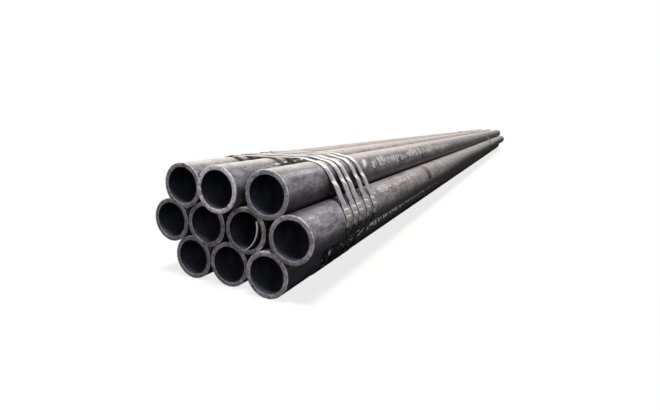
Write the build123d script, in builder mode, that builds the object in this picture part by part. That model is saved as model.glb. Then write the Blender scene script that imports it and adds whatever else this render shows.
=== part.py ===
from build123d import *
import os
from math import cos, hypot, radians, sin, sqrt

# Bundle of steel pipes, millimetres. X runs across the bundle, Y along the pipes with the
# front ends at minus Y, and Z up. The origin lies under the middle of the bundle, on the
# plane that its straps rest on.

# pipes
pipe_diameter = 101.6
pipe_wall = 10.0
pipe_length = 6000.0
end_bevel = 1.2            # broken outer edge of each sawn end
contact_gap = 0.2          # left open between pieces that lie against each other

# how the pipes lie
bottom_gap_left = 7.3      # open space between the bottom pipes
bottom_gap_right = 10.5
lean_left = 55.6           # rise of the outer middle pipes over the outer bottom ones, degrees
lean_right = 53.3

# how far each front end stands back from the mean front plane, minus is further out
end_steps = {
    "top_1": 1.9, "top_2": -19.7, "top_3": -9.2,
    "middle_1": 15.1, "middle_2": 6.5, "middle_3": -0.1, "middle_4": -12.9,
    "bottom_1": 17.5, "bottom_2": 10.7, "bottom_3": -9.9,
}

# steel straps: front edge of the first one of each group at the top of the bundle, measured
# back from the mean front plane, the open spaces after it, and how far each strap runs
# forward on its way down the side
strap_width = 25.0
strap_thickness = 1.0
front_first_edge = 168.0
front_gaps = [22.5, 7.5, 29.0, 19.0]
front_runs = [31.0, 37.0, 35.0, 39.0, 34.0]
rear_first_edge = 3880.5
rear_gaps = [16.0]
rear_runs = [9.0, 6.0]
strap_bend_radius = 25.0   # turns in the strap's course, seen from the side
turn_rise = 8.0            # upper turn, above the middle of the right top pipe

# points over which the straps arch along the top: beside which pipe, how far to the right of
# its middle, and how far above it
strap_arch = [("top_1", 12.0, 3.6), ("top_3", -30.0, 7.0)]

# strap seals: sleeves pressed over the two lapped ends of each strap
seal_length = 32.0
seal_wall = 1.0
seal_fit = 0.15            # room between the strap and the inside of its seal
seal_drop = 2.5            # middle of the seal past the point where the strap meets the pipe
lap_tail = 9.0             # how far each strap end shows past its seal
notch_spacing = 15.0       # two pairs of crimp notches in the edges of each seal
notch_depth = 2.6

# thin curved strip lodged in one bore, on its two long edges
strip_thickness = 1.2
strip_length = 300.0
strip_proud = 5.0          # how far it stands out of the bore
strip_edge_top = 38.0      # where its edges meet the bore wall, degrees from +X
strip_edge_bottom = -88.0
strip_curve = 58.0         # radius that it is curved to
strip_gap = 0.1            # between its edges and the bore wall

radius = pipe_diameter / 2
bore_radius = radius - pipe_wall
strap_inside = radius + contact_gap
lift = strap_thickness + contact_gap + radius


def valley(left, right):
    """Centre of a pipe that lies in the valley between two others."""
    reach = pipe_diameter + contact_gap
    span_x = right[0] - left[0]
    span_z = right[1] - left[1]
    span = hypot(span_x, span_z)
    rise = sqrt(reach ** 2 - (span / 2) ** 2)
    mid_x = (left[0] + right[0]) / 2
    mid_z = (left[1] + right[1]) / 2
    return mid_x - span_z / span * rise, mid_z + span_x / span * rise


def beside(centre, angle, side):
    """Centre of a pipe that leans on another at the given rise, to side -1 or 1."""
    reach = pipe_diameter + contact_gap
    return centre[0] + side * reach * cos(radians(angle)), centre[1] + reach * sin(radians(angle))


# centres of the pipes across the bundle, as (x, z)
centres = {"bottom_2": (0.0, lift)}
centres["bottom_1"] = (-pipe_diameter - bottom_gap_left, lift)
centres["bottom_3"] = (pipe_diameter + bottom_gap_right, lift)
centres["middle_1"] = beside(centres["bottom_1"], lean_left, -1)
centres["middle_2"] = valley(centres["bottom_1"], centres["bottom_2"])
centres["middle_3"] = valley(centres["bottom_2"], centres["bottom_3"])
centres["middle_4"] = beside(centres["bottom_3"], lean_right, 1)
centres["top_1"] = valley(centres["middle_1"], centres["middle_2"])
centres["top_2"] = valley(centres["middle_2"], centres["middle_3"])
centres["top_3"] = valley(centres["middle_3"], centres["middle_4"])

# the whole bundle is moved so that its box stands over the origin
middle_x = (centres["middle_1"][0] + centres["middle_4"][0]) / 2
for name in centres:
    centres[name] = (centres[name][0] - middle_x, centres[name][1])
front_plane = -(pipe_length + min(end_steps.values()) + max(end_steps.values())) / 2

# the straps lie round these pipes and over the two points of the arch, in order round the
# bundle
outer_centres = [centres["top_1"]]
for name, right, up in strap_arch:
    outer_centres.append((centres[name][0] + right, centres[name][1] + up))
for name in ("top_3", "middle_4", "bottom_3", "bottom_1", "middle_1"):
    outer_centres.append(centres[name])
bundle_top = max(z for x, z in outer_centres) + radius
bundle_reach = max(abs(x) for x, z in outer_centres) + pipe_diameter

# the straight run of a strap from the right top pipe down to the right middle one
top_right = Vector(*centres["top_3"])
side_right = Vector(*centres["middle_4"])
run_way = (side_right - top_right).normalized()
run_out = Vector(-run_way.Y, run_way.X)
seal_middle = side_right + run_out * strap_inside + run_way * seal_drop
seal_tilt = -Vector(1, 0).get_angle(run_way)
turn_high = top_right.Y + turn_rise
turn_low = side_right.Y


def cross_plane(y):
    """The plane across the bundle at y, looking along the pipes from behind it."""
    return Plane.XZ.offset(-y)


def band(inner, thickness):
    """A closed band round the bundle, seen along the pipes."""
    with BuildSketch() as ring:
        Polygon(*outer_centres, align=None)
        offset(amount=inner + thickness)
        offset(amount=-thickness, mode=Mode.SUBTRACT)
    return ring.sketch


def course(centre_y, forward, width):
    """The side view of a strap: straight down, forward from pipe to pipe, straight down."""
    with BuildSketch(Plane.YZ) as side_view:
        with BuildLine():
            FilletPolyline(
                (centre_y, bundle_top + pipe_diameter),
                (centre_y, turn_high),
                (centre_y - forward, turn_low),
                (centre_y - forward, -pipe_diameter),
                radius=strap_bend_radius,
            )
        trace(line_width=width)
    return side_view.sketch


def row_of_straps(group, first_edge, gaps, runs):
    """Name, number, middle at the top and forward run of each strap in a group."""
    middle = front_plane + first_edge + strap_width / 2
    places = [(group, 1, middle, runs[0])]
    for number, gap in enumerate(gaps, 2):
        middle += strap_width + gap
        places.append((group, number, middle, runs[number - 1]))
    return places


def save(part, name):
    part.label = name
    export_step(part, f"parts/{name}.step")


os.makedirs("parts", exist_ok=True)

# the pipes: each one a tube with its outer end edges broken
for name, (x, z) in centres.items():
    y = front_plane + end_steps[name]
    with BuildPart() as pipe:
        with BuildSketch(Plane(origin=(x, y, z), x_dir=(1, 0, 0), z_dir=(0, 1, 0))):
            Circle(radius)
            Circle(bore_radius, mode=Mode.SUBTRACT)
        extrude(amount=pipe_length)
        outer_edges = pipe.edges().filter_by(GeomType.CIRCLE).group_by(SortBy.RADIUS)[-1]
        chamfer(outer_edges, length=end_bevel)
    save(pipe.part, f"pipe_{name}")

# the straps and their seals
strap_places = row_of_straps("front", front_first_edge, front_gaps, front_runs)
strap_places += row_of_straps("rear", rear_first_edge, rear_gaps, rear_runs)
lap_length = seal_length + 2 * lap_tail
cover_height = 2 * strap_thickness + seal_fit + seal_wall
seal_width = strap_width + 2 * seal_fit + 2 * seal_wall
seal_spot = Location((seal_middle.X, seal_middle.Y, 0), (0, 0, seal_tilt))
notch_side = notch_depth * sqrt(2)
for group, number, centre_y, forward in strap_places:
    start = centre_y - forward - 2 * strap_width
    depth = forward + 4 * strap_width
    with BuildPart() as strap:
        with BuildSketch(cross_plane(start)):
            add(band(strap_inside + strap_thickness, strap_thickness))
            with Locations(seal_spot):
                Rectangle(lap_length, pipe_diameter, mode=Mode.INTERSECT)
            add(band(strap_inside, strap_thickness))
        extrude(amount=-depth)
        side_view = course(centre_y, forward, strap_width)
        extrude(side_view, amount=bundle_reach, both=True, mode=Mode.INTERSECT)
    save(strap.part, f"strap_{group}_{number}")

    with BuildPart() as slot:
        with BuildSketch(cross_plane(start)):
            add(band(bore_radius, pipe_wall + contact_gap + 2 * strap_thickness + seal_fit))
        extrude(amount=-depth)
        side_view = course(centre_y, forward, strap_width + 2 * seal_fit)
        extrude(side_view, amount=bundle_reach, both=True, mode=Mode.INTERSECT)

    fall = forward / (turn_high - turn_low)
    seal_y = centre_y - fall * (turn_high - seal_middle.Y)
    seal_face = Plane(
        origin=(seal_middle.X, seal_y, seal_middle.Y),
        x_dir=(run_way.X, fall * run_way.Y, run_way.Y),
        z_dir=(run_out.X, 0, run_out.Y),
    )
    with BuildPart() as seal:
        with BuildSketch(cross_plane(start)):
            add(band(strap_inside, cover_height))
            with Locations(seal_spot):
                Rectangle(seal_length, pipe_diameter, mode=Mode.INTERSECT)
        extrude(amount=-depth)
        side_view = course(centre_y, forward, seal_width)
        extrude(side_view, amount=bundle_reach, both=True, mode=Mode.INTERSECT)
        add(slot.part, mode=Mode.SUBTRACT)
        with Locations(seal_face):
            with GridLocations(notch_spacing, seal_width, 2, 2):
                Box(notch_side, notch_side, 4 * cover_height, rotation=(0, 0, 45), mode=Mode.SUBTRACT)
    save(seal.part, f"seal_{group}_{number}")

# the strip in the bore of the third middle pipe
bore_x, bore_z = centres["middle_3"]
edge_reach = bore_radius - strip_gap - strip_thickness
edges = [
    Vector(bore_x + edge_reach * cos(radians(angle)), bore_z + edge_reach * sin(radians(angle)))
    for angle in (strip_edge_top, strip_edge_bottom)
]
with BuildPart() as strip:
    with BuildSketch(cross_plane(front_plane + end_steps["middle_3"] - strip_proud)):
        with BuildLine():
            RadiusArc(edges[0], edges[1], strip_curve)
        trace(line_width=strip_thickness)
    extrude(amount=-strip_length)
save(strip.part, "bore_strip")
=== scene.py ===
import bmesh
import bpy
import math
import random
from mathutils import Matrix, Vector


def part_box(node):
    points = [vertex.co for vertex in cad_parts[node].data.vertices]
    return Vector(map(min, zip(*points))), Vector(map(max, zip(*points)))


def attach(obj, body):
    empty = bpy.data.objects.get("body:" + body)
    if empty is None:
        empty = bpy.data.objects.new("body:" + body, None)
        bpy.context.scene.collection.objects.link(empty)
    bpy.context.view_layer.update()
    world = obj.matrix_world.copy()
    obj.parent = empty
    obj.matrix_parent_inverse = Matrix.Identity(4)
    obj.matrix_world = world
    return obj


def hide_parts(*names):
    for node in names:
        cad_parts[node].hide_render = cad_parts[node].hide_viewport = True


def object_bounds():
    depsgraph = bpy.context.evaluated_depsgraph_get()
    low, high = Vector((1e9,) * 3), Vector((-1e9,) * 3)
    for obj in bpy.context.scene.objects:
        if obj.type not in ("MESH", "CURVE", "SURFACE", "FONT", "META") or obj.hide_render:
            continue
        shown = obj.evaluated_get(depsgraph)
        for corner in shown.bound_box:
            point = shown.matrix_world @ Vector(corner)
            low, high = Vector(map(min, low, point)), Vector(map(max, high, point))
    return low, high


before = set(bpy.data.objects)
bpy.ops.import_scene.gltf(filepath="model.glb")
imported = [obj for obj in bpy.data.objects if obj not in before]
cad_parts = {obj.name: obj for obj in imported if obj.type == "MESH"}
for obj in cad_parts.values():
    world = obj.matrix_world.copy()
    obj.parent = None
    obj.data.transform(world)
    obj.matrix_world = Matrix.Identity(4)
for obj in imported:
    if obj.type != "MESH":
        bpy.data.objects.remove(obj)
cadLow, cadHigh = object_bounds()
scene = bpy.context.scene
print("frame loaded,", len(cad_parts), "nodes")


# helpers for node trees

def plug(slot, value):
    # links an output into the slot, or writes a plain value there
    socket = getattr(value, "socket", value)
    if isinstance(socket, bpy.types.NodeSocket):
        slot.id_data.links.new(socket, slot)
    elif slot.type == "RGBA":
        slot.default_value = (*value, 1.0)
    elif value is not None:
        slot.default_value = value


def addNode(tree, kind, inputs=None, **settings):
    node = tree.nodes.new(kind)
    for key, value in settings.items():
        setattr(node, key, value)
    for key, value in (inputs or {}).items():
        plug(node.inputs[key], value)
    return node


def wire(tree, kind, inputs=None, out=0, **settings):
    return Wire(addNode(tree, kind, inputs, **settings).outputs[out])


class Wire:
    # an output of a node; what is reckoned with it becomes more nodes in the same tree
    def __init__(self, socket):
        self.socket = socket
        self.tree = socket.id_data

    def math(self, operation, *others, clamp=False):
        inputs = dict(enumerate((self, *others)))
        return wire(self.tree, "ShaderNodeMath", inputs, operation=operation, use_clamp=clamp)

    def __add__(self, other):
        return self.math("ADD", other)

    def __sub__(self, other):
        return self.math("SUBTRACT", other)

    def __rsub__(self, other):
        return self.math("MULTIPLY_ADD", -1.0, other)

    def __mul__(self, other):
        return self.math("MULTIPLY", other)

    def __truediv__(self, other):
        return self.math("DIVIDE", other)

    def __lt__(self, other):
        return self.math("LESS_THAN", other)

    def __gt__(self, other):
        return self.math("GREATER_THAN", other)

    def spread(self, low, high, toLow=0.0, toHigh=1.0, kind="LINEAR"):
        ends = {"From Min": low, "From Max": high, "To Min": toLow, "To Max": toHigh}
        return wire(self.tree, "ShaderNodeMapRange", {"Value": self, **ends}, interpolation_type=kind)

    def soften(self, low, high, toLow=0.0, toHigh=1.0):
        return self.spread(low, high, toLow, toHigh, "SMOOTHSTEP")

    def blend(self, first, second):
        # two colours, mixed by this share
        return wire(self.tree, "ShaderNodeMix", {0: self, 6: first, 7: second}, 2, data_type="RGBA")

    def parts(self):
        return [Wire(s) for s in addNode(self.tree, "ShaderNodeSeparateXYZ", {0: self}).outputs]

    def vector(self, operation, other=None, out=0):
        return wire(self.tree, "ShaderNodeVectorMath", {0: self, 1: other}, out, operation=operation)


def noise(place, scale, detail, rough, twist=0.0):
    return wire(place.tree, "ShaderNodeTexNoise", {
        "Vector": place, "Scale": scale, "Detail": detail, "Roughness": rough, "Distortion": twist})


def attribute(tree, name, out="Fac"):
    return wire(tree, "ShaderNodeAttribute", out=out, attribute_name=name)


def openTree(name, kind, given):
    # a plain value is a socket's default, and a word names the kind of a socket without one
    tree = bpy.data.node_groups.new(name, kind)
    for label, value in given.items():
        socket = {float: "Float", int: "Int", tuple: "Color"}.get(type(value), value)
        made = tree.interface.new_socket(label, in_out="INPUT", socket_type="NodeSocket" + socket)
        if socket is not value:
            made.default_value = value
    inputs = tree.nodes.new("NodeGroupInput").outputs
    return tree, {label: Wire(inputs[label]) for label in given}


def closeTree(tree, **result):
    kinds = {"VALUE": "NodeSocketFloat", "RGBA": "NodeSocketColor", "GEOMETRY": "NodeSocketGeometry"}
    for label, value in result.items():
        tree.interface.new_socket(label, in_out="OUTPUT", socket_type=kinds[value.socket.type])
    slots = tree.nodes.new("NodeGroupOutput").inputs
    for label, value in result.items():
        plug(slots[label], value)
    return tree


def openMaterial(name):
    material = bpy.data.materials.new(name)
    material.use_nodes = True
    tree = material.node_tree
    tree.nodes.clear()
    return material, tree, wire(tree, "ShaderNodeTexCoord", out="Object")


def closeMaterial(material, colour, rough, height, strength, depth, metal=0.0, specular=0.5):
    tree = material.node_tree
    bump = wire(tree, "ShaderNodeBump", {"Strength": strength, "Distance": depth, "Height": height})
    surface = wire(tree, "ShaderNodeBsdfPrincipled", {
        "Base Color": colour, "Roughness": rough, "Metallic": metal, "Specular IOR Level": specular,
        "Normal": bump})
    addNode(tree, "ShaderNodeOutputMaterial", {"Surface": surface})
    return material


# helpers for meshes

def addObject(name, data):
    made = bpy.data.objects.new(name, data)
    scene.collection.objects.link(made)
    return made


def runTree(name, tree, values, start=None):
    piece = addObject(name, start or bpy.data.meshes.new(name))
    modifier = piece.modifiers.new("shape", "NODES")
    modifier.node_group = tree
    for item in tree.interface.items_tree:
        if item.item_type == "SOCKET" and item.in_out == "INPUT" and item.name in values:
            modifier[item.identifier] = values[item.name]
    held = bpy.context.evaluated_depsgraph_get()
    made = bpy.data.meshes.new_from_object(piece.evaluated_get(held), depsgraph=held)
    piece.modifiers.remove(modifier)
    piece.data = made
    return piece


def easeCorners(section, reach, steps):
    return wire(section.tree, "GeometryNodeFilletCurve",
                {"Curve": section, "Radius": reach, "Count": steps}, mode="POLY")


def storeValues(mesh, **layers):
    for label, values in layers.items():
        mesh.attributes.new(label, "FLOAT", "POINT").data.foreach_set("value", values)


def settle(piece, sharpAt=35):
    shape = bmesh.new()
    shape.from_mesh(piece.data)
    bmesh.ops.remove_doubles(shape, verts=shape.verts, dist=1e-7)
    bmesh.ops.recalc_face_normals(shape, faces=shape.faces)
    shape.to_mesh(piece.data)
    shape.free()
    piece.data.shade_smooth()
    piece.data.set_sharp_from_angle(angle=math.radians(sharpAt))


def adopt(piece, node):
    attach(piece, "root")
    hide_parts(node)


# shader groups that several finishes share

def makeTubePlace():
    # where a spot lies on a tube: how far along, at what angle, how far from its axis and over it
    tree, given = openTree("tubePlace", "ShaderNodeTree", {"Place": "Vector"})
    x, y, z = given["Place"].parts()
    degrees = z.math("ARCTAN2", x).math("DEGREES")
    return closeTree(tree, Along=y, Degrees=degrees, Reach=(x * x + z * z).math("SQRT"), Rise=z)


def makeMillScale():
    tree, given = openTree("millScale", "ShaderNodeTree", {
        "Place": "Vector", "Clouds": 24.0, "Blotches": 105.0, "Rings": 42.0, "Ring Share": 0.4,
        "Dark": (0.03, 0.027, 0.028, 1.0), "Bloom": (0.135, 0.122, 0.122, 1.0), "Bloom Share": 0.5,
        "Chip": (0.62, 0.60, 0.60, 1.0)})
    place = given["Place"]
    longer = place.vector("MULTIPLY", (1.0, 0.38, 1.0))    # most of it is drawn out along the pipe
    clouds = noise(longer, given["Clouds"], 5.0, 0.6, 0.6)
    blotch = noise(longer, given["Blotches"], 8.0, 0.68, 0.9)
    grain = noise(longer, 420.0, 3.0, 0.65)
    rings = noise(place.vector("MULTIPLY", (0.09, 1.0, 0.09)), given["Rings"], 4.0, 0.65, 0.3)
    lines = noise(place.vector("MULTIPLY", (1.0, 0.035, 1.0)), 190.0, 3.0, 0.55)
    chips = noise(place, 240.0, 2.0, 0.5, 1.2)
    share = clouds.soften(0.40, 0.62) * 0.36 + blotch.soften(0.41, 0.59) * 0.46 + 0.09
    share = share + (rings.soften(0.36, 0.66) - 0.5) * given["Ring Share"]
    share = share + (lines - 0.5) * 0.45 + (grain - 0.5) * 0.85
    share = share.math("ADD", given["Bloom Share"] - 0.5, clamp=True)
    colour = share.blend(given["Dark"], given["Bloom"])
    colour = (chips.spread(0.70, 0.76) * clouds.spread(0.45, 0.60)).blend(colour, given["Chip"])
    height = grain * 0.30 + blotch * 0.9 + rings * 0.5
    return closeTree(tree, Color=colour, Roughness=share * 0.16 + 0.33, Height=height)


# pale dust on upward faces, which also stands for the painted sheen of the overhead light on the tops
def makeTopDust():
    tree, given = openTree("topDust", "ShaderNodeTree", {
        "Place": "Vector", "Steepness": 0.62, "Amount": 0.6, "Thinning": 0.85})
    up = wire(tree, "ShaderNodeNewGeometry", out="Normal").parts()[2]
    lying = up.spread(given["Steepness"], 1.0).math("POWER", given["Thinning"])
    broken = noise(given["Place"], 35.0, 6.0, 0.7).spread(0.36, 0.60, 0.45, 1.0)
    return closeTree(tree, Mask=lying * broken * given["Amount"])


def makeWornDashes():
    # a broken row of pale dabs along a pipe; each cell of the row draws its own width and height
    tree, given = openTree("wornDashes", "ShaderNodeTree", {
        "Place": "Vector", "Along": 0.0, "Degrees": 0.0, "Start": 0.0, "End": 1.0,
        "Middle Degrees": 45.0, "Drift": 0.0, "Half Height": 10.0, "Pitch": 0.02, "Wear": 0.5,
        "Wear Edge": 0.08, "Strength": 1.0})
    run = given["Along"] - given["Start"]
    line = run * given["Drift"] + given["Middle Degrees"]
    off = (given["Degrees"] - line) / given["Half Height"]
    steps = run / given["Pitch"]
    luck = wire(tree, "ShaderNodeTexWhiteNoise", {"W": steps.math("FLOOR")}, "Color",
                noise_dimensions="1D")
    width, rise, height = luck.parts()
    wide = steps.math("FRACT") < width.spread(0.0, 1.0, 0.25, 0.85)
    off = (off - rise.spread(0.0, 1.0, -0.35, 0.35)).math("ABSOLUTE")
    tall = off < height.spread(0.0, 1.0, 0.3, 0.8)
    worn = noise(given["Place"], 210.0, 5.0, 0.7)
    kept = worn.spread(given["Wear"], given["Wear"] + given["Wear Edge"])
    within = (run > 0.0) * (given["Along"] < given["End"])
    return closeTree(tree, Mask=wide * tall * kept * within * given["Strength"])


def makeScuff():
    # a ragged rub that runs part of the way round a pipe
    tree, given = openTree("scuff", "ShaderNodeTree", {
        "Place": "Vector", "Along": 0.0, "Degrees": 0.0, "Start": 0.0, "Slant": 0.0,
        "From Degrees": 0.0, "To Degrees": 60.0, "Half Width": 0.01, "Strength": 1.0})
    turned = given["Degrees"] - given["From Degrees"]
    line = turned * given["Slant"] + given["Start"]
    off = (given["Along"] - line).math("ABSOLUTE") / given["Half Width"]
    ragged = noise(given["Place"], 90.0, 5.0, 0.75) * 2.6
    mask = (ragged + (off - 1.3)).spread(0.25, 1.0, 1.0, 0.0)
    started = turned.spread(-6.0, 2.0)
    ended = (given["To Degrees"] - given["Degrees"]).spread(-6.0, 2.0)
    return closeTree(tree, Mask=mask * started * ended * given["Strength"])


def makeSootBand():
    # a band of colour that grows from one angle round the pipe to another, between two places along it:
    # painted shade in most uses, a brown film in one
    tree, given = openTree("sootBand", "ShaderNodeTree", {
        "Place": "Vector", "Along": 0.0, "Degrees": 0.0, "Clean Degrees": 30.0,
        "Dark Degrees": 0.0, "Start": -100.0, "End": 100.0, "Rise": 0.05, "Fade": 0.15,
        "Ragged Degrees": 30.0, "Strength": 0.8})
    ragged = noise(given["Place"], 30.0, 5.0, 0.7) - 0.5
    turned = ragged * given["Ragged Degrees"] + given["Degrees"]
    mask = turned.spread(given["Clean Degrees"], given["Dark Degrees"])
    begun = (given["Along"] - given["Start"]).spread(0.0, given["Rise"])
    ended = (given["Along"] - given["End"]).spread(0.0, given["Fade"], 1.0, 0.0)
    return closeTree(tree, Mask=mask * begun * ended * given["Strength"])


tubePlace = makeTubePlace()
millScale = makeMillScale()
topDust = makeTopDust()
wornDashes = makeWornDashes()
scuff = makeScuff()
sootBand = makeSootBand()


# the pipes

pipeLook = {
    "wall": 0.010,
    "around": 180,
    "edge": 0.0011,
    "innerEdge": 0.0004,
    "edgeSteps": 3,
    "dark": (0.120, 0.106, 0.114),
    "bloom": (0.420, 0.392, 0.404),
    "nearTint": (0.97, 0.99, 1.06),    # the scale is bluer by the front ends
    "farTint": (1.0, 0.965, 0.965),
    # dust on the tops with a painted sheen of the light in it; darker further back
    "dustNear": (0.84, 0.775, 0.70),
    "dust": (0.82, 0.72, 0.62),
    "dustFar": (0.61, 0.505, 0.415),
    "boreDark": (0.010, 0.010, 0.015),
    "boreDust": (0.060, 0.064, 0.090),
    "boreDeep": (0.55, 0.50, 0.62),
    "sawn": (0.128, 0.113, 0.130),
    "sawnLight": (0.98, 0.93, 0.98),
    "outerWear": (0.0493, 0.0499),     # the radii over which the ends' edges turn bright: worn edges with a painted highlight
    "innerWear": (0.0418, 0.0412),
    "burnishAt": 55.0,                 # the ends are painted lightest there, as if lit from that side, in degrees
    "rimTone": {"top_1": 0.52, "top_2": 2.4, "top_3": 0.60, "middle_1": 0.46, "middle_2": 0.44,
                "middle_3": 0.60, "middle_4": 0.66, "bottom_1": 0.52, "bottom_2": 0.78,
                "bottom_3": 0.72},
    "paint": (0.95, 0.94, 0.93),
    "bareScale": (0.60, 0.58, 0.60),
    # near-black for painted shade, and for dark rings on the scale
    "soot": (0.022, 0.019, 0.021),
    "brownFilm": (0.16, 0.10, 0.055),
}
pipeNames = list(pipeLook["rimTone"])
unit = 0.1016    # one pipe diameter, in which the marks were measured


def tubeSpots(where):
    middle = attribute(where.tree, "pipeMiddle", "Vector")
    local = where.vector("SUBTRACT", middle)
    found = addNode(where.tree, "ShaderNodeGroup", {"Place": local}, node_tree=tubePlace).outputs
    return {socket.name: Wire(socket) for socket in found}


def makePipeSkin(name, bloomShare, ringShare, dustAmount, *marks):
    material, tree, where = openMaterial(name)
    spots = tubeSpots(where)
    along = spots["Along"]
    skin = addNode(tree, "ShaderNodeGroup", {
        "Place": where, "Dark": pipeLook["dark"], "Bloom": pipeLook["bloom"],
        "Bloom Share": bloomShare, "Ring Share": along.spread(0.30, 1.30, 0.08, ringShare)},
        node_tree=millScale).outputs
    tint = along.spread(0.10, 0.60).blend(pipeLook["nearTint"], pipeLook["farTint"])
    colour = wire(tree, "ShaderNodeMix", {0: 1.0, 6: skin["Color"], 7: tint}, 2,
                  data_type="RGBA", blend_type="MULTIPLY")
    # the tops are painted pale: real dust with a painted sheen
    dust = wire(tree, "ShaderNodeGroup", {
        "Place": where, "Steepness": along.spread(0.05, 0.60, 0.86, 0.76), "Amount": dustAmount},
        node_tree=topDust)
    dusty = along.spread(0.02, 0.25).blend(pipeLook["dustNear"], pipeLook["dust"])
    dusty = along.spread(0.2, 1.5).blend(dusty, pipeLook["dustFar"])
    colour = dust.blend(colour, dusty)
    for group, markColour, values in marks:
        spot = {"Place": where, "Along": along, "Degrees": spots["Degrees"]}
        mask = wire(tree, "ShaderNodeGroup", {**spot, **values}, node_tree=group)
        colour = mask.blend(colour, pipeLook[markColour])
    return closeMaterial(material, colour, skin["Roughness"], skin["Height"], 0.45, 0.0012, specular=0.6)


def makeBoreFinish():
    material, tree, where = openMaterial("pipeBore")
    spots = tubeSpots(where)
    dust = noise(where, 60.0, 6.0, 0.7)
    # the lower side of the bore is lighter and bluer: dust with painted light falling in from the
    # opening
    low = spots["Rise"].spread(0.015, -0.038)
    share = low * dust.spread(0.3, 0.7, 0.5, 1.0)
    colour = share.blend(pipeLook["boreDark"], pipeLook["boreDust"])
    # deeper in, the bore is painted lighter again, a painted glow where little light reaches
    deep = spots["Along"].soften(0.035, 0.130) * (low * 0.45 + 0.55)
    colour = deep.blend(colour, pipeLook["boreDeep"])
    return closeMaterial(material, colour, dust.spread(0.3, 0.7, 0.5, 0.72), dust, 0.4, 0.001,
                         specular=0.25)


def makeRimFinish():
    material, tree, where = openMaterial("pipeSawnEnd")
    spots = tubeSpots(where)
    specks = wire(tree, "ShaderNodeTexVoronoi", {"Vector": where, "Scale": 330.0}, "Color").parts()
    cloud = noise(where, 110.0, 5.0, 0.7)
    broad = noise(where, 48.0, 2.0, 0.5)
    fine = noise(where, 900.0, 3.0, 0.7)
    share = specks[0].spread(0.15, 0.85) * 0.42 + cloud.spread(0.38, 0.64, 0.0, 0.40)
    share = ((fine - 0.45) * 0.8 + share) * attribute(tree, "rimTone")
    # painted light: the sawn ends are lighter towards one side
    burnish = (spots["Degrees"] - pipeLook["burnishAt"]).math("RADIANS").math("COSINE")
    share = share * (burnish * 0.26 + 1.0) * broad.spread(0.35, 0.65, 0.62, 1.38)
    # the edges are painted bright: wear with a painted highlight
    outerEdge = spots["Reach"].spread(*pipeLook["outerWear"])
    innerEdge = spots["Reach"].spread(*pipeLook["innerWear"], 0.0, 0.5)
    edge = outerEdge.math("MAXIMUM", innerEdge) * cloud.spread(0.40, 0.58, 0.25, 1.0)
    share = share.math("MAXIMUM", edge, clamp=True)
    colour = share.blend(pipeLook["sawn"], pipeLook["sawnLight"])
    return closeMaterial(material, colour, cloud.spread(0.3, 0.7, 0.36, 0.58),
                         fine + specks[1] * 0.4, 0.5, 0.0009, metal=0.2)


def makePipeTree():
    tree, given = openTree("pipeTree", "GeometryNodeTree", {
        "Geometry": "Geometry", "Radius": 0.05, "Wall": 0.01, "Length": 6.0, "Edge": 0.001,
        "Inner Edge": 0.001, "Edge Steps": 3, "Around": 90, "Front Middle": "Vector",
        "Rim Tone": 0.5, "Skin": "Material", "Bore": "Material", "Rim": "Material"})
    midRadius = given["Wall"] * -0.5 + given["Radius"]
    ring = wire(tree, "GeometryNodeCurvePrimitiveCircle",
                {"Resolution": given["Around"], "Radius": midRadius}, mode="RADIUS")
    section = wire(tree, "GeometryNodeCurvePrimitiveQuadrilateral",
                   {"Width": given["Wall"], "Height": given["Length"]}, mode="RECTANGLE")
    side = wire(tree, "GeometryNodeInputPosition").parts()[0]
    ease = side.spread(-0.001, 0.001, given["Inner Edge"], given["Edge"])
    eased = easeCorners(section, ease, given["Edge Steps"])
    swept = wire(tree, "GeometryNodeCurveToMesh", {"Curve": ring, "Profile Curve": eased})
    laid = wire(tree, "GeometryNodeTransform",
                {"Geometry": swept, "Rotation": (math.radians(-90), 0.0, 0.0)})
    halfLength = wire(tree, "ShaderNodeCombineXYZ", {"Y": given["Length"] * 0.5})
    place = given["Front Middle"].vector("ADD", halfLength)
    shaped = wire(tree, "GeometryNodeSetPosition", {"Geometry": laid, "Offset": place})
    for label, kind, value in (("pipeMiddle", "FLOAT_VECTOR", given["Front Middle"]),
                               ("rimTone", "FLOAT", given["Rim Tone"])):
        shaped = wire(tree, "GeometryNodeStoreNamedAttribute",
                      {"Geometry": shaped, "Name": label, "Value": value}, data_type=kind)
    spot = wire(tree, "GeometryNodeInputPosition").vector("SUBTRACT", given["Front Middle"])
    x, y, z = spot.parts()
    inBore = (x * x + z * z).math("SQRT") < midRadius
    facing = wire(tree, "GeometryNodeInputNormal").parts()[1]
    onEnd = facing.math("ABSOLUTE") > 0.2
    shaped = wire(tree, "GeometryNodeRealizeInstances", {0: shaped})
    for pick, finish in ((None, "Skin"), (inBore, "Bore"), (onEnd, "Rim")):
        shaped = wire(tree, "GeometryNodeSetMaterial",
                      {"Geometry": shaped, "Selection": pick, "Material": given[finish]})
    return closeTree(tree, Geometry=shaped)


# a band of painted shade in the default colour; given brownFilm it draws a brown film instead
def sooty(clean, dark, strength, colour="soot", start=-100.0, end=100.0, rise=0.05, fade=0.15):
    # angles are in degrees from the right, lengths in metres from the front end
    return sootBand, colour, {
        "Clean Degrees": clean, "Dark Degrees": dark, "Strength": strength, "Start": start,
        "End": end, "Rise": rise, "Fade": fade}


def dashes(start, end, middle, half, pitch, wear, drift=0.0, strength=1.0):
    # start and end are in pipe diameters
    return wornDashes, "paint", {
        "Start": start * unit, "End": end * unit, "Middle Degrees": middle, "Half Height": half,
        "Pitch": pitch, "Wear": wear, "Drift": drift, "Strength": strength}


def rubbed(colour, start, low, high, half, slant=0.0, strength=1.0):
    return scuff, colour, {
        "Start": start, "From Degrees": low, "To Degrees": high, "Half Width": half,
        "Slant": slant, "Strength": strength}


# painted shade from the right flank down round the underside
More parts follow.
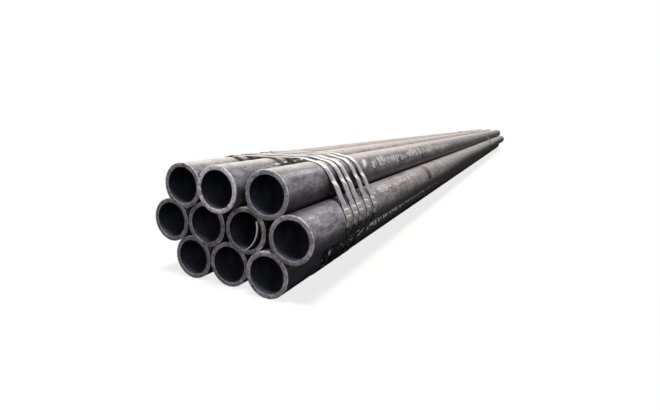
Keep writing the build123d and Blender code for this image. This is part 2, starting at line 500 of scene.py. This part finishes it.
plainSkin = makePipeSkin("pipeSkin", 0.45, 0.25, 0.9, sooty(30.0, 0.0, 0.85))
# the inner pipes, seen only in the gaps: a darker copy of the skin with painted shade all round
innerSkin = makePipeSkin("pipeSkinInner", 0.30, 0.25, 0.0, sooty(300.0, 200.0, 0.80))
skins = {
    "middle_2": innerSkin, "middle_3": innerSkin, "bottom_2": innerSkin,
    "top_1": makePipeSkin(
        "pipeSkinTop1", 0.50, 0.30, 1.0,
        sooty(300.0, 200.0, 0.26, "brownFilm", start=0.36),
        # painted shade on the lower right flank, and painted shadows of the straps on the right shoulder
        sooty(36.0, 5.0, 0.8),
        sooty(78.0, 58.0, 0.75, start=0.15, end=0.36, fade=0.03)),
    "top_2": makePipeSkin(
        "pipeSkinTop2", 0.45, 0.30, 0.95,
        # painted shade on the lower right flank, and painted shadows of the straps on the right shoulder
        sooty(30.0, 2.0, 0.85),
        sooty(78.0, 52.0, 0.75, start=0.17, end=0.38, fade=0.03),
        dashes(1.7, 3.2, 51.0, 5.0, 0.042, 0.42, drift=20.0)),
    "top_3": makePipeSkin(
        "pipeSkinTop3", 0.42, 0.55, 0.85,
        # painted shade on the underside facing the middle pipe below
        sooty(14.0, -22.0, 0.86, end=0.36, fade=0.10),
        sooty(2.0, -26.0, 0.90, start=0.38),
        sooty(44.0, 14.0, 0.94, start=0.135, end=0.350, fade=0.03),    # painted shadow of the straps on the flank between them
        # a pale rub along the front shoulder, with a painted sheen in it
        rubbed("bareScale", 0.09, 42.0, 52.0, 0.13, strength=0.45),
        dashes(0.1, 2.0, 47.0, 8.0, 0.030, 0.55, strength=0.7),
        dashes(4.75, 17.0, 28.0, 21.0, 0.030, 0.46, strength=0.9),
        rubbed("paint", 4.15 * unit, 24.0, 45.0, 0.022, 0.0007, 0.9),
        rubbed("soot", 10.8 * unit, -7.0, 9.0, 0.020)),
    "middle_4": makePipeSkin(
        "pipeSkinMiddle4", 0.47, 0.35, 0.0,
        # painted shade: under the right top pipe near the front, on the underside, and on the lower
        # flank further back
        sooty(44.0, 86.0, 0.72, end=0.28),
        sooty(12.0, -20.0, 0.85),
        sooty(38.0, 6.0, 0.72, start=1.2, rise=0.8),
        dashes(3.2, 9.4, 52.0, 14.0, 0.050, 0.52, strength=0.85),
        dashes(0.2, 1.0, 58.0, 6.0, 0.045, 0.52, strength=0.8),
        rubbed("soot", 9.95 * unit, 6.0, 74.0, 0.042, 0.0002)),
    "bottom_3": makePipeSkin(
        "pipeSkinBottom3", 0.30, 0.3, 0.1,
        # painted shade from the right flank round the underside, as under the middle pipe above
        sooty(90.0, 22.0, 0.84),
        dashes(1.5, 3.2, -10.0, 14.0, 0.017, 0.27, drift=90.0),
        dashes(3.2, 5.4, 6.0, 16.0, 0.024, 0.24, drift=30.0),
        dashes(5.4, 16.0, 9.0, 11.0, 0.024, 0.29, drift=8.0)),
}
boreFinish = makeBoreFinish()
rimFinish = makeRimFinish()
pipeTree = makePipeTree()

centres = {}
for name in pipeNames:
    low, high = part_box("pipe_" + name)
    pipeRadius = (high.x - low.x) / 2
    centres[name] = ((low.x + high.x) / 2, (low.z + high.z) / 2)
    pipe = runTree("pipe_" + name + "_dressed", pipeTree, {
        "Radius": pipeRadius, "Wall": pipeLook["wall"], "Length": high.y - low.y,
        "Edge": pipeLook["edge"], "Inner Edge": pipeLook["innerEdge"],
        "Edge Steps": pipeLook["edgeSteps"], "Around": pipeLook["around"],
        "Rim Tone": pipeLook["rimTone"][name],
        "Front Middle": (centres[name][0], low.y, centres[name][1]),
        "Skin": skins.get(name, plainSkin), "Bore": boreFinish, "Rim": rimFinish})
    settle(pipe)
    adopt(pipe, "pipe_" + name)
print("pipes dressed,", len(pipeNames))


# the straps

strapLook = {
    "width": 0.025,
    "thickness": 0.001,
    "lapThickness": 0.00094,
    "corner": 0.00032,
    "inside": 0.0002,          # gap to the pipes
    "arch": [("top_1", 0.012, 0.0036), ("top_3", -0.030, 0.007)],
    "seam": 5.5,               # the course starts under the bundle
    "turnRise": 0.008,         # upper turn, above the middle of the right top pipe
    "turnEase": 0.06,          # how softly it turns, as a share of the slanting run
    "lap": 0.050,
    "sealDrop": 0.0025,        # middle of the seal past the point where the strap meets the pipe
    "shoulderOff": 0.0013,     # how far it stands off the shoulder of the right top pipe
    "shoulderFrom": 82.0,      # this grows from there, in degrees
    "shoulderOver": 20.0,
    "creaseDip": 0.0010,       # the crease above the slanting run: a dip, then a proud facet
    "creaseProud": 0.0010,
    "creaseTop": 0.014,        # heights over the upper turn
    "facetTop": -0.0005,
    "facetLow": -0.0105,
    "creaseEnd": 0.034,        # height over the lower turn
    "kinkHalf": 0.0055,        # first bend, just under the upper turn
    "crestAt": 50.0,           # second bend, in degrees
    "crestOver": 6.0,
    "crestShare": 0.8,
    "grimeTop": 0.006,         # height over the lower turn
    "grimeOver": 0.012,
    "tailPast": 0.020,         # the lap's browned end: its middle past the seal's, and its half
    "tailHalf": 0.010,
    "tailFade": 0.002,
    "edgeWide": 0.0012,        # the painted shadow along the edges, and how much of it is solid
    "edgeSolid": 0.0008,
    "dull": (0.46, 0.43, 0.455),
    "bright": (0.98, 0.94, 0.97),
    # wear with a painted sheen on the upward faces
    "worn": (0.97, 0.94, 0.91),
    "bent": (0.96, 0.95, 0.94),
    "grime": (0.010, 0.008, 0.008),
    "rust": (0.40, 0.345, 0.325),
    "chip": (0.90, 0.88, 0.88),
    # painted shadow along the strap's edges
    "edge": (0.006, 0.006, 0.007),
}

# the corners of the straps' course; a point's last number is its corner's place in this list,
# and a half more on the run to the next one
corners = [centres["top_1"]]
for name, right, up in strapLook["arch"]:
    corners.append((centres[name][0] + right, centres[name][1] + up))
corners += [centres[name] for name in ("top_3", "middle_4", "bottom_3", "bottom_1", "middle_1")]
highTurn = centres["top_3"][1] + strapLook["turnRise"]
lowTurn = centres["middle_4"][1]


def hullPath(reach):
    count = len(corners)
    headings = []
    for here in range(count):
        x0, z0 = corners[here]
        x1, z1 = corners[(here + 1) % count]
        headings.append(math.atan2(z1 - z0, x1 - x0))
    path = []
    for here in range(count):
        before = headings[here - 1] + math.pi / 2
        after = headings[here] + math.pi / 2
        while after > before:
            after -= 2 * math.pi
        steps = max(2, math.ceil((before - after) / math.radians(3)))
        for step in range(steps + 1):
            turn = before + (after - before) * step / steps
            path.append([corners[here][0] + reach * math.cos(turn),
                         corners[here][1] + reach * math.sin(turn), turn, here])
        x0, z0 = path[-1][:2]
        x1 = corners[(here + 1) % count][0] + reach * math.cos(after)
        z1 = corners[(here + 1) % count][1] + reach * math.sin(after)
        spacing = 0.003 if here in (2, 3) else 0.02
        pieces = max(1, math.ceil(math.hypot(x1 - x0, z1 - z0) / spacing))
        for step in range(1, pieces):
            share = step / pieces
            path.append([x0 + (x1 - x0) * share, z0 + (z1 - z0) * share, after, here + 0.5])
    return path


def leanAt(z):
    # share of the forward run at this height, with both turns eased
    share = (highTurn - z) / (highTurn - lowTurn)
    ease = strapLook["turnEase"]
    if abs(share) < ease:
        return (share + ease) ** 2 / (4 * ease)
    if abs(share - 1) < ease:
        return 1 - (1 + ease - share) ** 2 / (4 * ease)
    return min(1.0, max(0.0, share))


def standOut(point):
    # how far the strap stands off the right top pipe and the crease below it
    z, turn, where = point[1:]
    off, dip, proud = strapLook["shoulderOff"], strapLook["creaseDip"], strapLook["creaseProud"]
    if where in (2, 2.5, 3):
        share = (strapLook["shoulderFrom"] - math.degrees(turn)) / strapLook["shoulderOver"]
        return off * min(1.0, max(0.0, share))
    if where != 3.5:
        return 0.0
    top = highTurn + strapLook["creaseTop"]
    facetTop = highTurn + strapLook["facetTop"]
    facetLow = highTurn + strapLook["facetLow"]
    if z > top:
        return off
    if z > facetTop:
        share = (top - z) / (top - facetTop)
        return off - dip * (3 * share ** 2 - 2 * share ** 3)
    if z > facetLow:
        return off - dip + (dip + proud) * (facetTop - z) / (facetTop - facetLow)
    share = min(1.0, (facetLow - z) / (facetLow - lowTurn - strapLook["creaseEnd"]))
    return (off + proud) * (1 - share)


def bendAt(point):
    # how much the strap is bent and rubbed there, with a painted highlight over the bends, from 0 to 1
    z, turn, where = point[1:]
    half = strapLook["kinkHalf"]
    kink = math.exp(-((z - highTurn + half) / half) ** 2) if where == 3.5 else 0.0
    crest = (math.degrees(turn) - strapLook["crestAt"]) / strapLook["crestOver"]
    crest = strapLook["crestShare"] * math.exp(-crest ** 2) if where in (2, 3) else 0.0
    return min(1.0, kink + crest)


def grimeAt(point):
    # the strap is dark from the middle of the right middle pipe down and round the bottom
    z, where = point[1], point[3]
    if where < 4 or (where == 7.5 and z > centres["top_1"][1]):
        return 0.0
    share = (lowTurn + strapLook["grimeTop"] - z) / strapLook["grimeOver"]
    return min(1.0, max(0.0, share)) if where < 7 else 1.0


def layCourse(reach):
    # the course's points from its seam on, and how far along each one lies
    points = hullPath(reach)
    start = next(i for i, p in enumerate(points) if p[3] == strapLook["seam"])
    points = points[start:] + points[:start]
    along = [0.0]
    for a, b in zip(points, points[1:]):
        along.append(along[-1] + math.hypot(b[0] - a[0], b[1] - a[1]))
    return points, along


def pathMesh(reach, ends=None):
    # the whole closed course, or only the stretch between two ends
    points, along = layCourse(reach)
    kept = [i for i in range(len(points)) if not ends or ends[0] <= along[i] <= ends[1]]
    points, along = [points[i] for i in kept], [along[i] for i in kept]
    places = []
    for point in points:
        x, z, turn = point[:3]
        out = standOut(point)
        places.append((x + out * math.cos(turn), 0.0, z + out * math.sin(turn)))
    edges = [(i, i + 1) for i in range(len(places) - 1)]
    if not ends:
        edges.append((len(places) - 1, 0))
    mesh = bpy.data.meshes.new("course")
    mesh.from_pydata(places, edges, [])
    storeValues(mesh, alongStrap=along, bend=[bendAt(p) for p in points],
                grime=[grimeAt(p) for p in points], lean=[leanAt(p[1]) for p in points])
    layer = mesh.attributes.new("outward", "FLOAT_VECTOR", "POINT")
    for item, point in zip(layer.data, points):
        item.vector = (math.cos(point[2]), 0.0, math.sin(point[2]))
    return mesh


def makeStrapFinish():
    material, tree, where = openMaterial("strapSteel")
    names = ("alongStrap", "acrossStrap", "bend", "grime")
    along, across, bend, grime = (attribute(tree, name) for name in names)
    lane = wire(tree, "ShaderNodeCombineXYZ", {"X": along * 7.0, "Y": across * 620.0})
    brushed = noise(lane.vector("ADD", where), 1.0, 4.0, 0.6)
    cloud = noise(where, 75.0, 5.0, 0.7)
    chip = noise(where, 170.0, 4.0, 0.6)
    share = ((brushed - 0.5) * 1.8).math("ADD", cloud.spread(0.30, 0.70, 0.2, 0.8), clamp=True)
    colour = share.blend(strapLook["dull"], strapLook["bright"])
    # upward faces are painted paler and less metallic: wear with a painted sheen of the overhead light
    up = wire(tree, "ShaderNodeNewGeometry", out="Normal").parts()[2].spread(0.74, 0.94)
    colour = (up * share.spread(0.0, 1.0, 0.65, 1.0)).blend(colour, strapLook["worn"])
    # the bends are painted bright: rub with a painted highlight
    colour = bend.blend(colour, strapLook["bent"])
    tail = (along - (sealAlong + strapLook["tailPast"])).math("ABSOLUTE")
    tailEnd = strapLook["tailHalf"] + strapLook["tailFade"]
    tail = tail.spread(strapLook["tailHalf"], tailEnd, 1.0, 0.0)
    browned = tail * chip.spread(0.44, 0.54, 0.30, 1.0)
    # near-black from the middle of the right middle pipe down and round the bottom
    dirty = grime * (1.0 - tail)
    colour = dirty.blend(colour, strapLook["grime"])
    colour = browned.blend(colour, strapLook["rust"])
    colour = (dirty * chip.spread(0.60, 0.66)).blend(colour, strapLook["chip"])
    half = strapLook["width"] / 2
    # the edges are painted near-black: the shadow in the gap under them
    edge = across.math("ABSOLUTE").spread(half - strapLook["edgeWide"], half - strapLook["edgeSolid"])
    colour = edge.blend(colour, strapLook["edge"])
    dull = dirty.math("MAXIMUM", edge).math("MAXIMUM", browned)
    rough = dull * 0.30 + (bend * -0.08 + cloud.spread(0.3, 0.7, 0.24, 0.40))
    metal = dull.math("MULTIPLY_ADD", -0.75, 0.78, clamp=True) * (up * -0.85 + 1.0)
    return closeMaterial(material, colour, rough, brushed, 0.25, 0.0004, metal)


def makeStrapTree():
    tree, given = openTree("strapTree", "GeometryNodeTree", {
        "Geometry": "Geometry", "Width": 0.025, "Thickness": 0.001, "Corner": 0.0003,
        "Middle": 0.0, "Forward Run": 0.03, "Finish": "Material"})
    line = wire(tree, "GeometryNodeMeshToCurve", {"Mesh": given["Geometry"]})
    lean = wire(tree, "GeometryNodeInputNamedAttribute", {"Name": "lean"}, data_type="FLOAT")
    shift = wire(tree, "ShaderNodeCombineXYZ", {"Y": given["Middle"] - lean * given["Forward Run"]})
    led = wire(tree, "GeometryNodeSetPosition", {"Geometry": line, "Offset": shift})
    outward = wire(tree, "GeometryNodeInputNamedAttribute", {"Name": "outward"},
                   data_type="FLOAT_VECTOR")
    sideways = wire(tree, "GeometryNodeInputTangent").vector("CROSS_PRODUCT", outward)
    flat = wire(tree, "GeometryNodeSetCurveNormal", {"Curve": led, "Normal": sideways}, mode="FREE")
    section = wire(tree, "GeometryNodeCurvePrimitiveQuadrilateral",
                   {"Width": given["Width"], "Height": given["Thickness"]}, mode="RECTANGLE")
    across = wire(tree, "GeometryNodeInputPosition").parts()[0]
    named = wire(tree, "GeometryNodeStoreNamedAttribute", {
        "Geometry": easeCorners(section, given["Corner"], 2), "Name": "acrossStrap",
        "Value": across}, data_type="FLOAT")
    swept = wire(tree, "GeometryNodeCurveToMesh",
                 {"Curve": flat, "Profile Curve": named, "Fill Caps": True})
    whole = wire(tree, "GeometryNodeRealizeInstances", {0: swept})
    done = wire(tree, "GeometryNodeSetMaterial", {"Geometry": whole, "Material": given["Finish"]})
    return closeTree(tree, Geometry=done)


strapPlaces = []
for group, count in (("front", 5), ("rear", 2)):
    for number in range(1, count + 1):
        low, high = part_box(f"strap_{group}_{number}")
        run = high.y - low.y - strapLook["width"]
        strapPlaces.append((group, number, high.y - strapLook["width"] / 2, run))

strapReach = pipeRadius + strapLook["inside"] + strapLook["thickness"] / 2
coursePoints, courseAlong = layCourse(strapReach)
meetAlong = next(s for s, point in zip(courseAlong, coursePoints) if point[3] == 4)
sealAlong = meetAlong + strapLook["sealDrop"]
lapEnds = (sealAlong - strapLook["lap"] / 2, sealAlong + strapLook["lap"] / 2)
strapFinish = makeStrapFinish()
strapTree = makeStrapTree()

for group, number, middle, forward in strapPlaces:
    values = {"Width": strapLook["width"], "Thickness": strapLook["thickness"],
              "Corner": strapLook["corner"], "Middle": middle, "Forward Run": forward,
              "Finish": strapFinish}
    strap = runTree(f"strap_{group}_{number}_dressed", strapTree, values, pathMesh(strapReach))
    values["Thickness"] = strapLook["lapThickness"]
    lapMesh = pathMesh(strapReach + strapLook["thickness"], lapEnds)
    lap = runTree(f"lap_{group}_{number}", strapTree, values, lapMesh)
    shape = bmesh.new()
    shape.from_mesh(strap.data)
    shape.from_mesh(lap.data)
    shape.to_mesh(strap.data)
    shape.free()
    bpy.data.objects.remove(lap)
    settle(strap)
    adopt(strap, f"strap_{group}_{number}")
print("straps laid,", len(strapPlaces))


# the seals over the laps

sealLook = {
    "length": 0.032,
    "wall": 0.001,
    "fit": 0.00015,
    "topWall": 0.0004,
    "corner": 0.0007,
    "crimps": [-0.0075, 0.0075],
    "crimpWidth": 0.0012,
    "rubWidth": 0.0019,
    "dent": 0.0023,
    "dentReach": 0.0045,       # how far in from its edge the seal is dented
    "ridge": 0.0005,
    "skew": 0.0026,            # the crimping tool was held level, not square to the leaning strap
    "uneven": 0.0006,
    "unevenSkew": 0.0008,
    "tone": (0.75, 1.15),      # how hard a crimp is pressed, as a share
    "mostPress": 1.2,
    "rubEase": 0.001,          # how softly the rubbed stretch and the rust beyond it begin
    "rustEase": 0.002,
    "steps": 72,
    "dull": (0.27, 0.255, 0.26),
    "bright": (0.84, 0.81, 0.82),
    "rust": (0.46, 0.385, 0.385),
    # rubbed crimps with a painted glint
    "rubbed": (1.0, 0.98, 0.96),
    # painted shade on the seal's side walls
    "side": (0.012, 0.010, 0.010),
}


def makeSealFinish():
    material, tree, where = openMaterial("sealSteel")
    rub, wall, rust = (attribute(tree, name) for name in ("rub", "sideWall", "rust"))
    cloud = noise(where, 230.0, 5.0, 0.7)
    fine = noise(where, 900.0, 3.0, 0.6)
    share = ((fine - 0.5) * 0.8).math("ADD", cloud.spread(0.36, 0.66), clamp=True)
    colour = share.blend(sealLook["dull"], sealLook["bright"])
    browned = rust * cloud.spread(0.42, 0.56, 0.35, 1.0)
    colour = browned.blend(colour, sealLook["rust"])
    # the crimps are painted bright: rub with a painted glint
    colour = (rub * cloud.spread(0.42, 0.52, 0.35, 1.0)).blend(colour, sealLook["rubbed"])
    # the side walls are painted near-black: painted shade
    colour = wall.blend(colour, sealLook["side"])
    metal = wall.math("MAXIMUM", browned).math("MAXIMUM", rub) * -0.60 + 0.65
    return closeMaterial(material, colour, cloud.spread(0.3, 0.7, 0.28, 0.46), fine, 0.4, 0.0004, metal)


def courseFrame(along, middle, forward):
    # place, outward and sideways directions of a strap's middle layer
    last = len(courseAlong) - 1
    here = next(i for i in range(last) if courseAlong[i + 1] >= along)
    share = (along - courseAlong[here]) / (courseAlong[here + 1] - courseAlong[here])
    a, b = coursePoints[here], coursePoints[here + 1]
    x, z, turn = (a[i] + (b[i] - a[i]) * share for i in range(3))
    lean = forward * (leanAt(z - 0.0005) - leanAt(z + 0.0005)) / 0.001
    out = Vector((math.cos(turn), 0.0, math.sin(turn)))
    down = Vector((out.z, 0.0, -out.x))
    way = Vector((down.x, lean * down.z, down.z)).normalized()
    return Vector((x, middle - forward * leanAt(z), z)), out, way.cross(out).normalized()


def sealSection():
    # the sleeve cut across, open towards the pipe: its outer face, then its inner one
    wall, corner = sealLook["wall"], sealLook["corner"]
    half = strapLook["width"] / 2 + sealLook["fit"] + wall
    under = 2 * strapLook["thickness"] + sealLook["fit"]
    top = under + sealLook["topWall"]
    flank = half - wall
    outer = [(-half, 0.0), (-half, top * 0.35), (-half, top - corner)]
    for step in range(1, 4):
        turn = math.pi - step * math.pi / 6
        outer.append((-half + corner + corner * math.cos(turn), top - corner + corner * math.sin(turn)))
    for step in range(1, 12):
        outer.append((-half + corner + (2 * half - 2 * corner) * step / 12, top))
    for step in range(3):
        turn = math.pi / 2 - step * math.pi / 6
        outer.append((half - corner + corner * math.cos(turn), top - corner + corner * math.sin(turn)))
    outer += [(half, top - corner), (half, top * 0.35), (half, 0.0)]
    inner = [(flank, 0.0), (flank, top * 0.35), (flank, under)]
    inner += [(flank - 2 * flank * step / 8, under) for step in range(1, 8)]
    inner += [(-flank, under), (-flank, top * 0.35), (-flank, 0.0)]
    return outer + inner, half, top


def makeSeal(name, middle, forward, seed):
    luck = random.Random(seed)
    section, half, top = sealSection()
    crimps = [c + luck.uniform(-sealLook["uneven"], sealLook["uneven"]) for c in sealLook["crimps"]]
    skew = sealLook["skew"] + luck.uniform(-sealLook["unevenSkew"], sealLook["unevenSkew"])
    tone = [luck.uniform(*sealLook["tone"]) for c in crimps]
    ease = sealLook["rubEase"]
    places, rub, walls, rust = [], [], [], []
    for step in range(sealLook["steps"] + 1):
        s = (step / sealLook["steps"] - 0.5) * sealLook["length"]
        place, out, side = courseFrame(sealAlong + s, middle, forward)
        base = place - out * (strapLook["thickness"] / 2)
        for w, h in section:
            away = [s - c - skew * w / half for c in crimps]
            press = sum(t * math.exp(-(a / sealLook["crimpWidth"]) ** 2) for a, t in zip(away, tone))
            press = min(press, sealLook["mostPress"])
            shine = max(math.exp(-(a / sealLook["rubWidth"]) ** 2) for a in away)
            between = min(1.0, max(0.0, (crimps[1] + ease - abs(s)) / ease))
            edge = min(1.0, max(0.0, (abs(w) - half + sealLook["dentReach"]) / sealLook["dentReach"]))
            dent = math.copysign(sealLook["dent"] * press * edge * edge, w) if w else 0.0
            lift = sealLook["ridge"] * press * (1.0 - 0.8 * edge)
            places.append(base + out * (h + lift * (h / top)) + side * (w - dent))
            onTop = h > top * 0.75 and abs(w) < half - 0.0003
            rub.append(min(1.0, 1.1 * shine + 0.8 * between * edge ** 3) if onTop else 0.0)
            walls.append(0.0 if onTop else 1.0)
            rust.append(min(1.0, max(0.0, (s - crimps[1] - ease) / sealLook["rustEase"])))
    count = len(section)
    faces = []
    for step in range(sealLook["steps"]):
        for i in range(count):
            a, b = step * count + i, step * count + (i + 1) % count
            faces.append((a, b, b + count, a + count))
    mesh = bpy.data.meshes.new(name)
    mesh.from_pydata(places, [], faces)
    storeValues(mesh, rub=rub, sideWall=walls, rust=rust)
    shape = bmesh.new()
    shape.from_mesh(mesh)
    bmesh.ops.holes_fill(shape, edges=[e for e in shape.edges if e.is_boundary], sides=0)
    bmesh.ops.triangulate(shape, faces=[f for f in shape.faces if len(f.verts) > 4])
    shape.to_mesh(mesh)
    shape.free()
    return addObject(name, mesh)


sealFinish = makeSealFinish()
for seed, (group, number, middle, forward) in enumerate(strapPlaces, 5):
    seal = makeSeal(f"seal_{group}_{number}_dressed", middle, forward, seed)
    seal.data.materials.append(sealFinish)
    settle(seal, 50)
    adopt(seal, f"seal_{group}_{number}")
print("seals pressed on")


# the strip in the bore of the third middle pipe

stripLook = {
    "thickness": 0.0012,
    "edgeTop": 38.0,           # where its edges meet the bore, in degrees from the right
    "edgeBottom": -88.0,
    "curve": 0.058,
    "gap": 0.0001,             # the middle of its edges lies this and its thickness off the bore
    "steps": 40,
    "dark": (0.020, 0.015, 0.013),
    "brown": (0.075, 0.055, 0.042),
    "cut": (0.97, 0.96, 0.94),
}


def makeStripFinish():
    material, tree, where = openMaterial("stripSteel")
    cloud = noise(where, 120.0, 6.0, 0.7)
    colour = cloud.spread(0.35, 0.7).blend(stripLook["dark"], stripLook["brown"])
    # the cut edge is painted near white: bare metal with a painted highlight
    colour = attribute(tree, "cutEdge").blend(colour, stripLook["cut"])
    return closeMaterial(material, colour, cloud.spread(0.3, 0.7, 0.4, 0.62), cloud, 0.3, 0.0006)


def makeStrip(name):
    cx, cz = centres["middle_3"]
    reach = pipeRadius - pipeLook["wall"] - stripLook["gap"] - stripLook["thickness"]
    ends = []
    for degrees in (stripLook["edgeTop"], stripLook["edgeBottom"]):
        turn = math.radians(degrees)
        ends.append((cx + reach * math.cos(turn), cz + reach * math.sin(turn)))
    (x0, z0), (x1, z1) = ends
    chord = math.hypot(x1 - x0, z1 - z0)
    toCentre = math.sqrt(stripLook["curve"] ** 2 - (chord / 2) ** 2)
    dx, dz = (x1 - x0) / chord, (z1 - z0) / chord
    hub = ((x0 + x1) / 2 + dz * toCentre, (z0 + z1) / 2 - dx * toCentre)
    start, stop = (math.atan2(z - hub[1], x - hub[0]) for x, z in ends)
    low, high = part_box("bore_strip")
    # rows along the strip: its place, how thick the metal is there and how bright; the brightness is the
    # bare cut edge with a painted highlight
    rows = [(low.y, 1.2, 1.0), (low.y + 0.0003, 1.6, 1.0), (low.y + 0.0025, 1.5, 1.0),
            (low.y + 0.0045, 1.0, 0.0), (low.y + 0.15, 1.0, 0.0), (high.y - 0.0003, 1.0, 0.0),
            (high.y, 0.7, 0.4)]
    shape = bmesh.new()
    cut = shape.verts.layers.float.new("cutEdge")
    rings = []
    for y, fat, bright in rows:
        ring = []
        for side in (1, -1):
            for step in range(stripLook["steps"] + 1):
                share = step / stripLook["steps"] if side == 1 else 1 - step / stripLook["steps"]
                turn = start + (stop - start) * share
                burr = 1 + (fat - 1) * (1.7 - 1.2 * share)    # the cut edge is thickest at its top
                away = stripLook["curve"] + side * stripLook["thickness"] / 2 * burr
                vert = shape.verts.new((hub[0] + away * math.cos(turn), y,
                                        hub[1] + away * math.sin(turn)))
                vert[cut] = bright
                ring.append(vert)
        rings.append(ring)
    count = len(rings[0])
    for a, b in zip(rings, rings[1:]):
        for i in range(count):
            shape.faces.new((a[i], a[(i + 1) % count], b[(i + 1) % count], b[i]))
    for ring in (rings[0], rings[-1]):
        for i in range(stripLook["steps"]):
            shape.faces.new((ring[i], ring[i + 1], ring[count - 2 - i], ring[count - 1 - i]))
    mesh = bpy.data.meshes.new(name)
    shape.to_mesh(mesh)
    shape.free()
    return addObject(name, mesh)


strip = makeStrip("bore_strip_dressed")
strip.data.materials.append(makeStripFinish())
settle(strip)
adopt(strip, "bore_strip")
print("strip in place")


# floor, light and camera

stageLook = {
    "floorSize": 60.0,
    "floorPale": (0.92, 0.92, 0.92),
    "floorMirrored": (0.07, 0.07, 0.07),
    "floorDull": (0.03, 0.03, 0.03),
    "shadowLift": 0.80,
    "fadeFrom": 0.02,          # metres from the bundle over which the floor turns white
    "fadeTo": 0.9,
    "glowRise": (0.0, 0.24, 0.05, 1.0),      # metal mirrors the background greyer near the ground
    "glowSide": (0.38, 0.14, 0.17, 1.0),     # and to the right
    "ambient": 0.03,
    "ambientTint": (0.92, 0.95, 1.0),
    "warm": (1.0, 0.985, 0.96),
    "cool": (0.95, 0.97, 1.0),
    "panelPower": 45.0,
    "panelSize": (3.0, 12.0),
    "panelPlace": (0.0, 1.4, 3.6),
    "keyStrength": 3.1,
    "keyTilt": (-8.0, 7.0),    # degrees off the vertical, towards the back and the right
    "keySoftness": 13.0,
    "fill": (26.0, 2.4, (-1.6, -7.6, 1.8)),    # power, size and place
    "side": (60.0, 2.6, (4.2, -5.2, 0.9)),
    "aimBehind": 0.3,          # both look at a point behind the front ends, at this height
    "aimHeight": 0.15,
    "cameraPlace": (0.57220, -3.68236, 0.35609),
    "cameraDown": 11.04,
    "cameraTurn": 25.41,
    "lens": 22.756,
}
white = (1.0, 1.0, 1.0)


def seenBy(tree, others, mirrors, camera):
    # the camera, mirrored or refracted rays and all others each see their own shader
    light = addNode(tree, "ShaderNodeLightPath").outputs
    mirrored = Wire(light["Is Glossy Ray"]).math("MAXIMUM", Wire(light["Is Transmission Ray"]))
    lower = wire(tree, "ShaderNodeMixShader", {0: mirrored, 1: others, 2: mirrors})
    return wire(tree, "ShaderNodeMixShader", {0: light["Is Camera Ray"], 1: lower, 2: camera})


def makeFloor():
    half = stageLook["floorSize"] / 2
    mesh = bpy.data.meshes.new("floor")
    square = [(-half, -half, 0), (half, -half, 0), (half, half, 0), (-half, half, 0)]
    mesh.from_pydata(square, [], [(0, 1, 2, 3)])
    floor = addObject("floor", mesh)
    material, tree, where = openMaterial("floorPale")
    pale, grey, dull = (wire(tree, "ShaderNodeBsdfDiffuse", {"Color": stageLook[key]})
                        for key in ("floorPale", "floorMirrored", "floorDull"))
    bright = wire(tree, "ShaderNodeEmission", {"Color": white, "Strength": 1.0})
    beyond = where.vector("ABSOLUTE").vector("SUBTRACT", (cadHigh.x, cadHigh.y, 0.0))
    away = beyond.vector("MAXIMUM", (0.0, 0.0, 0.0)).vector("LENGTH", out="Value")
    fade = away.soften(stageLook["fadeFrom"], stageLook["fadeTo"], stageLook["shadowLift"], 1.0)
    pale = wire(tree, "ShaderNodeMixShader", {0: fade, 1: pale, 2: bright})
    addNode(tree, "ShaderNodeOutputMaterial", {"Surface": seenBy(tree, dull, grey, pale)})
    mesh.materials.append(material)


def makeWorld():
    world = bpy.data.worlds.new("studio")
    scene.world = world
    world.use_nodes = True
    tree = world.node_tree
    tree.nodes.clear()
    x, y, z = wire(tree, "ShaderNodeTexCoord", out="Generated").parts()
    glow = z.soften(*stageLook["glowRise"]) * x.soften(*stageLook["glowSide"])
    dim, graded, clear = (
        wire(tree, "ShaderNodeBackground", {"Color": colour, "Strength": strength})
        for colour, strength in ((stageLook["ambientTint"], stageLook["ambient"]),
                                 (white, glow), (white, 1.0)))
    addNode(tree, "ShaderNodeOutputWorld", {"Surface": seenBy(tree, dim, graded, clear)})


def addLamp(name, kind, power, colour):
    light = bpy.data.lights.new(name, kind)
    light.energy = power
    light.color = colour
    return light, addObject(name, light)


def makeLamps():
    panel, lamp = addLamp("panel", "AREA", stageLook["panelPower"], stageLook["warm"])
    panel.shape = "RECTANGLE"
    panel.size, panel.size_y = stageLook["panelSize"]
    lamp.location = stageLook["panelPlace"]
    lamp.visible_camera = False
    key, lamp = addLamp("overheadKey", "SUN", stageLook["keyStrength"], stageLook["warm"])
    key.angle = math.radians(stageLook["keySoftness"])
    back, right = stageLook["keyTilt"]
    lamp.rotation_euler = (math.radians(-back), math.radians(right), 0.0)
    for name in ("fill", "side"):
        power, size, place = stageLook[name]
        light, lamp = addLamp(name + "Lamp", "AREA", power, stageLook["cool"])
        light.size = size
        lamp.location = place
        target = Vector((0.0, cadLow.y + stageLook["aimBehind"], stageLook["aimHeight"]))
        aim = target - lamp.location
        lamp.rotation_euler = aim.to_track_quat("-Z", "Y").to_euler()
        lamp.visible_camera = False


def makeCamera():
    lens = bpy.data.cameras.new("photoView")
    lens.sensor_width = 36.0
    lens.lens = stageLook["lens"]
    lens.clip_start = 0.02
    lens.clip_end = 200.0
    camera = addObject("photoView", lens)
    camera.location = stageLook["cameraPlace"]
    camera.rotation_euler = (math.radians(90 - stageLook["cameraDown"]), 0.0,
                             math.radians(stageLook["cameraTurn"]))
    scene.camera = camera


makeFloor()
makeWorld()
makeLamps()
makeCamera()
scene.view_settings.view_transform = "Standard"

print("scene ready")
